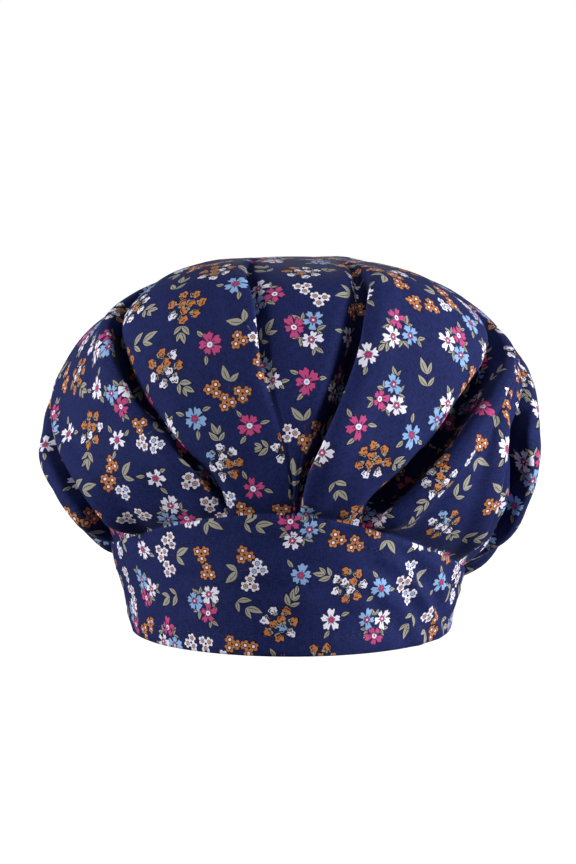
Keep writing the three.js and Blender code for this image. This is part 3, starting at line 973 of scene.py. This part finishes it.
def leaf(tree, x, y, length, width=0.24):
    """A pointed sage leaf along +X, a little bent, with a dark outline and part of a midrib."""
    s = (x / length).calc("MAXIMUM", 0.0001)
    y = y - s * (s * -1 + 1) * (length * 0.22)
    along = s.calc("POWER", 0.8)
    half = (along * math.pi).calc("SINE") * (length * width) * s.less(1)
    form = y.size() - half
    form = form.most(x * -1)
    rib = (y - half * 0.15).size().less(0.15) * s.more(0.12) * s.less(0.68)
    line = (form * -1).less(0.17).most(rib)
    colour = blend(tree, line, SAGE, LINE_INK)
    return Motif(tree, colour, (form - 0.2).within(0.12) * x.more(-0.2) * (x - length).less(0.25))


def stem(tree, x, y, start, end, bend):
    """A thin dark stem along +X that bends sideways."""
    line = (y - x * x * bend).size() - 0.15
    return Motif(tree, LINE_INK, line.within(0.16) * x.more(start) * x.less(end))


def leaf_pair(tree, x, y, start, length, spread_angle, odd=0.82, width=0.24):
    """Two leaves from one point, one a little shorter."""
    side = y.more(0) * (1 - odd) + odd
    lx, ly = turned(x - start, y.size(), spread_angle)
    return leaf(tree, lx / side, ly / side, length, width)


def lattice(tree, place, spacing, shift, jitter, seed):
    """Cells of a square lattice set on its corner. Gives the place in the cell, turned at random, and
    the cell's random numbers."""
    node = tree.nodes.new("ShaderNodeMapping")
    feed(tree, place, node.inputs["Vector"])
    node.inputs["Rotation"].default_value = (0, 0, math.pi / 4)
    node.inputs["Scale"].default_value = (1 / spacing, 1 / spacing, 1)
    node.inputs["Location"].default_value = (shift, shift, 0)
    x, y, _ = parts_of(tree, node.outputs[0])
    i, j = x.calc("FLOOR"), y.calc("FLOOR")
    own = chance(tree, i, j, seed)
    more = chance(tree, i, j, seed + 0.37)
    cx = (x - i - 0.5) * spacing - (own[0] - 0.5) * (2 * jitter)
    cy = (y - j - 0.5) * spacing - (own[1] - 0.5) * (2 * jitter)
    cx, cy = spun(cx, cy, own[2] * (2 * math.pi))
    return cx, cy, more, own[0]


def flower_colour(tree, value):
    return one_of(tree, value, (0.333, PINK), (0.667, WHITE), (1, BLUE))


def large_groups(tree, place):
    """Bouquets of rosebuds, rings of blossom triples and posies of three flowers."""
    x, y, own, seed = lattice(tree, place, GROUP_SPACING, 0, 2.2, 1.5)
    kind = own[0]

    # A posy of three flowers with small leaves between them
    fx, fy, number = sector(tree, x, y, 3)
    part = chance(tree, seed, number, 2.2)
    px, py = spun(fx - 5.3, fy, part[0] * 6.28)
    order = (number + (own[1] * 3).calc("FLOOR")).calc("FLOORED_MODULO", 3) / 3 + 0.1
    eye = one_of(tree, order, (0.333, WHITE), (1, DEEP_PINK))
    dot = one_of(tree, order, (0.333, PINK), (1, WHITE))
    posy = flower(tree, px, py, 5.0, part[1], flower_colour(tree, order), eye, dot)
    leaves = leaf_pair(tree, fx, fy, 9.3, 4.6, 0.6, 0.85, 0.23)
    lx, ly, _ = sector(tree, x * -1, y * -1, 3)
    between = leaf_pair(tree, lx, ly, 4.6, 4.8, 0.62, 0.8, 0.23)
    posy = posy.over(leaves.where(part[2].less(0.6))).over(between).where(kind.less(0.36))

    # Three blossom triples round one side and a stem with two large leaves on the other
    fx, fy, number = sector(tree, x, y, 5)
    part = chance(tree, seed, number, 6.4)
    tone = one_of(tree, part[1], (0.6, ORANGE), (1, WHITE))
    eye = one_of(tree, part[1], (0.6, WHITE), (0.8, ORANGE), (1, BLUE))
    triple = blossom_triple(tree, fx - 7.3, fy, part[0] * 6.28, 2.45, part[2], tone, eye)
    triple = triple.where(number.more(0.5) * number.less(3.5))
    sx, sy = turned(x, y, -0.63)
    leaves = leaf_pair(tree, sx, sy, 2.4, 8.6, 0.62, 0.75, 0.21)
    twig = stem(tree, sx * -1, sy, -2.6, 5.5, 0.05)
    ring = triple.over(leaves).over(twig).where(kind.more(0.36) * kind.less(0.68))

    # A round bouquet of rosebuds with a leafy stem
    bx, by = x + 3.4, y
    fx, fy, number = sector(tree, bx, by, 7)
    inner = distance_of(bx, by).less(4.3)
    gx, gy, inner_number = sector(tree, bx, by, 3)
    nx = (fx - 6.6) * (inner * -1 + 1) + (gx - 2.2) * inner
    ny = fy * (inner * -1 + 1) + gy * inner
    index = number * (inner * -1 + 1) + (inner_number + 11) * inner
    part = chance(tree, seed, index, 9.9)
    nx, ny = spun(nx, ny, part[0] * 2.4 - 1.2)
    tone = one_of(tree, part[1] * 0.6 + own[1] * 0.4, (0.5, ORANGE), (0.84, WHITE), (1, BLUE))
    buds = rosebud(tree, nx, ny, 2.4, index + seed, tone)
    near = leaf_pair(tree, x, y, 6.4, 6.4, 0.72, 0.8, 0.22)
    far = leaf_pair(tree, x, y, 9.2, 6.2, 0.36, 0.75, 0.22)
    twig = stem(tree, x, y, 5.4, 10.5, 0.01)
    bouquet = buds.over(near).over(far).over(twig).where(kind.more(0.68))
    return posy.over(ring).over(bouquet)


def small_groups(tree, place):
    """Single flowers with a few leaves, pairs of blossom triples, and leafy stems."""
    x, y, own, seed = lattice(tree, place, GROUP_SPACING, 0.5, 2.6, 7.5)
    kind = own[0]
    order = own[1]
    eye = one_of(tree, order, (0.333, WHITE), (1, DEEP_PINK))
    dot = one_of(tree, order, (0.333, BLUE), (1, PINK))
    single = flower(tree, x, y, 5.4, seed, flower_colour(tree, order), eye, dot)
    fx, fy, number = sector(tree, x, y, 3)
    part = chance(tree, seed, number, 4.4)
    lx, ly = spun(fx - 5.0, fy, part[0] * 0.9 - 0.45)
    leaves = leaf(tree, lx, ly, 4.8, 0.23).where(part[1].less(0.85))
    single = single.over(leaves).where(kind.less(0.5))

    fx, fy, number = sector(tree, x, y, 2)
    part = chance(tree, seed, number, 6.9)
    tone = one_of(tree, own[1], (0.55, ORANGE), (1, WHITE))
    eye = one_of(tree, own[1], (0.55, WHITE), (1, ORANGE))
    pair = blossom_triple(tree, fx - 4.6, fy, part[0] * 6.28, 2.4, part[2], tone, eye)
    pair = pair.where(kind.more(0.5) * kind.less(0.72))

    near = leaf_pair(tree, x, y, -4.5, 7.2, 0.75, 0.8, 0.2)
    far = leaf_pair(tree, x, y, 0.5, 8.4, 0.4, 0.7, 0.2)
    twig = stem(tree, x, y, -9, 1.5, 0.04)
    sprig = near.over(far).over(twig).where(kind.more(0.72))
    return single.over(pair).over(sprig)


def woven(tree, place):
    """Tone of the threads, a little uneven along each one, from 0 to 1 round 0.5."""
    tones = []
    for along, across in ((0.3, 2), (2, 0.3)):
        stretch = tree.nodes.new("ShaderNodeMapping")
        feed(tree, place, stretch.inputs["Vector"])
        stretch.inputs["Scale"].default_value = (along, across, 1)
        slub = tree.nodes.new("ShaderNodeTexNoise")
        slub.noise_dimensions = "2D"
        slub.inputs["Scale"].default_value = 1
        slub.inputs["Detail"].default_value = 2
        feed(tree, stretch.outputs[0], slub.inputs["Vector"])
        tones.append(Field(tree, slub.outputs[0]))
    return (tones[0] + tones[1]) * 0.5


def floral_print():
    """The printed cotton: places in the cloth in metres in, colour and thread tone out."""
    tree = bpy.data.node_groups.new("floral_print", "ShaderNodeTree")
    tree.interface.new_socket("Place", in_out="INPUT", socket_type="NodeSocketVector")
    tree.interface.new_socket("Colour", in_out="OUTPUT", socket_type="NodeSocketColor")
    tree.interface.new_socket("Threads", in_out="OUTPUT", socket_type="NodeSocketFloat")
    start, end = tree.nodes.new("NodeGroupInput"), tree.nodes.new("NodeGroupOutput")
    in_mm = tree.nodes.new("ShaderNodeVectorMath")
    in_mm.operation = "SCALE"
    in_mm.inputs["Scale"].default_value = 1000
    feed(tree, start.outputs[0], in_mm.inputs[0])
    place = in_mm.outputs[0]
    threads = woven(tree, place)
    printed = small_groups(tree, place).over(large_groups(tree, place))
    ground = blend(tree, threads.calc("MULTIPLY_ADD", 6, -2.4, clamp=True), NAVY_SHADE, NAVY)
    colour = blend(tree, printed.amount, ground, printed.colour)
    feed(tree, colour, end.inputs["Colour"])
    feed(tree, threads, end.inputs["Threads"])
    return tree


def printed_cotton(name, group, offset, turn):
    material = bpy.data.materials.new(name)
    material.use_nodes = True
    tree = material.node_tree
    shader = tree.nodes["Principled BSDF"]
    cloth = tree.nodes.new("ShaderNodeUVMap")
    cloth.uv_map = "cloth"
    put = tree.nodes.new("ShaderNodeMapping")
    put.inputs["Location"].default_value = (*offset, 0)
    put.inputs["Rotation"].default_value = (0, 0, turn)
    feed(tree, cloth.outputs[0], put.inputs["Vector"])
    pattern = tree.nodes.new("ShaderNodeGroup")
    pattern.node_tree = group
    feed(tree, put.outputs[0], pattern.inputs[0])
    threads = Field(tree, pattern.outputs["Threads"])
    feed(tree, pattern.outputs["Colour"], shader.inputs["Base Color"])
    feed(tree, threads * 0.12 + 0.76, shader.inputs["Roughness"])
    shader.inputs["Sheen Weight"].default_value = 0.04
    shader.inputs["Sheen Roughness"].default_value = 0.4
    shader.inputs["Specular IOR Level"].default_value = 0.16
    bump = tree.nodes.new("ShaderNodeBump")
    bump.inputs["Strength"].default_value = 0.35
    bump.inputs["Distance"].default_value = 0.0002
    feed(tree, threads, bump.inputs["Height"])
    feed(tree, bump.outputs[0], shader.inputs["Normal"])
    return material


def thread_material():
    material = bpy.data.materials.new("navy_thread")
    material.use_nodes = True
    tree = material.node_tree
    shader = tree.nodes["Principled BSDF"]
    where = tree.nodes.new("ShaderNodeTexCoord")
    twist = tree.nodes.new("ShaderNodeTexNoise")
    twist.inputs["Scale"].default_value = 2500
    feed(tree, where.outputs["Object"], twist.inputs["Vector"])
    feed(tree, blend(tree, twist.outputs[0], THREAD_NAVY, NAVY_SHADE), shader.inputs["Base Color"])
    shader.inputs["Roughness"].default_value = 0.6
    return material


print_group = floral_print()
crown = crown_piece()
band = band_piece()
casing = casing_piece()
for piece, node, slot, offset, turn in (
    (crown, "crown", "crown_cloth", (0.0, 0.0), 0.3),
    (band, "front_band", "band_cloth", (0.7, 0.4), 0.12),
    (casing, "back_casing", "casing_cloth", (0.2, 0.9), -0.1),
):
    piece.data.materials.append(printed_cotton(slot.replace("cloth", "cotton"), print_group, offset, turn))
    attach(piece, "root")
    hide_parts(node)

stitch = thread_stitch()
thread = thread_material()
line_angles = np.radians(np.linspace(-STITCH_END, STITCH_END, 441))
for name, height in (
    ("hem_stitches", STITCH_MARGIN + 0 * line_angles),
    ("seam_stitches", band_height(line_angles) - STITCH_MARGIN),
):
    points, outs = band_line(line_angles, height)
    row = stitch_row(stitch, points, outs, name)
    row.data.materials.append(thread)
    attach(row, "root")
bpy.data.objects.remove(stitch)

# Floor, lights and camera
bpy.ops.object.select_all(action="DESELECT")
bpy.ops.mesh.primitive_plane_add(size=60, location=(0, 0, 0))
floor = bpy.context.object
floor.name = "floor"
pale = bpy.data.materials.new("pale_floor")
pale.use_nodes = True
pale_shader = pale.node_tree.nodes["Principled BSDF"]
pale_shader.inputs["Base Color"].default_value = (0.25, 0.25, 0.25, 1)
pale_shader.inputs["Roughness"].default_value = 1
pale_shader.inputs["Specular IOR Level"].default_value = 0
pale_shader.inputs["Emission Color"].default_value = (1, 1, 1, 1)
pale_shader.inputs["Emission Strength"].default_value = 1
floor.data.materials.append(pale)
floor.visible_diffuse = False
floor.visible_glossy = False


def studio_world():
    """White all round at eye level, softer light from above and little from below."""
    world = bpy.data.worlds.new("studio")
    bpy.context.scene.world = world
    world.use_nodes = True
    tree = world.node_tree
    where = tree.nodes.new("ShaderNodeTexCoord")
    height = parts_of(tree, where.outputs["Generated"])[2]
    level = height.calc("MULTIPLY_ADD", 0.5, 0.5)
    ramp = tree.nodes.new("ShaderNodeValToRGB")
    ramp.color_ramp.elements[0].position = 0.3
    ramp.color_ramp.elements[0].color = (0.02, 0.02, 0.02, 1)
    ramp.color_ramp.elements[1].position = 0.85
    ramp.color_ramp.elements[1].color = (0.06, 0.06, 0.06, 1)
    for position, tone in ((0.485, 0.03), (0.492, 1.02), (0.55, 1.02), (0.56, 0.06)):
        ramp.color_ramp.elements.new(position).color = (tone, tone, tone, 1)
    feed(tree, level, ramp.inputs[0])
    feed(tree, ramp.outputs[0], tree.nodes["Background"].inputs["Color"])


def area_light(name, place, aim, size, power):
    light = bpy.data.lights.new(name, "AREA")
    light.size = size
    light.energy = power
    lamp = bpy.data.objects.new(name, light)
    lamp.location = place
    lamp.rotation_euler = (Vector(aim) - Vector(place)).to_track_quat("-Z", "Y").to_euler()
    bpy.context.scene.collection.objects.link(lamp)


studio_world()
area_light("right", (2.0, -0.6, 0.46), (0, 0, 0.1), 0.9, 59)
area_light("left", (-2.0, -0.55, 0.46), (0, 0, 0.1), 0.9, 40)
area_light("overhead", (0.0, -0.4, 2.05), (0, 0, 0.1), 0.9, 5)
bpy.context.scene.view_settings.view_transform = "Standard"

CAMERA_RISE = math.radians(4.5)
CAMERA_DISTANCE = 1.6
CAMERA_LENS = 138.9
AIM_HEIGHT = 0.0938
AIM_LEFT = 0.00144
towards = Vector((0, -math.cos(CAMERA_RISE), math.sin(CAMERA_RISE)))
up = Vector((0, math.sin(CAMERA_RISE), math.cos(CAMERA_RISE)))
right = Vector((1, 0, 0))
camera = bpy.data.objects.new("camera", bpy.data.cameras.new("camera"))
camera.data.lens = CAMERA_LENS
camera.data.sensor_width = 36
place = up * AIM_HEIGHT - right * AIM_LEFT + towards * CAMERA_DISTANCE
camera.matrix_world = Matrix.Translation(place) @ Matrix((right, up, towards)).transposed().to_4x4()
bpy.context.scene.collection.objects.link(camera)
bpy.context.scene.camera = camera
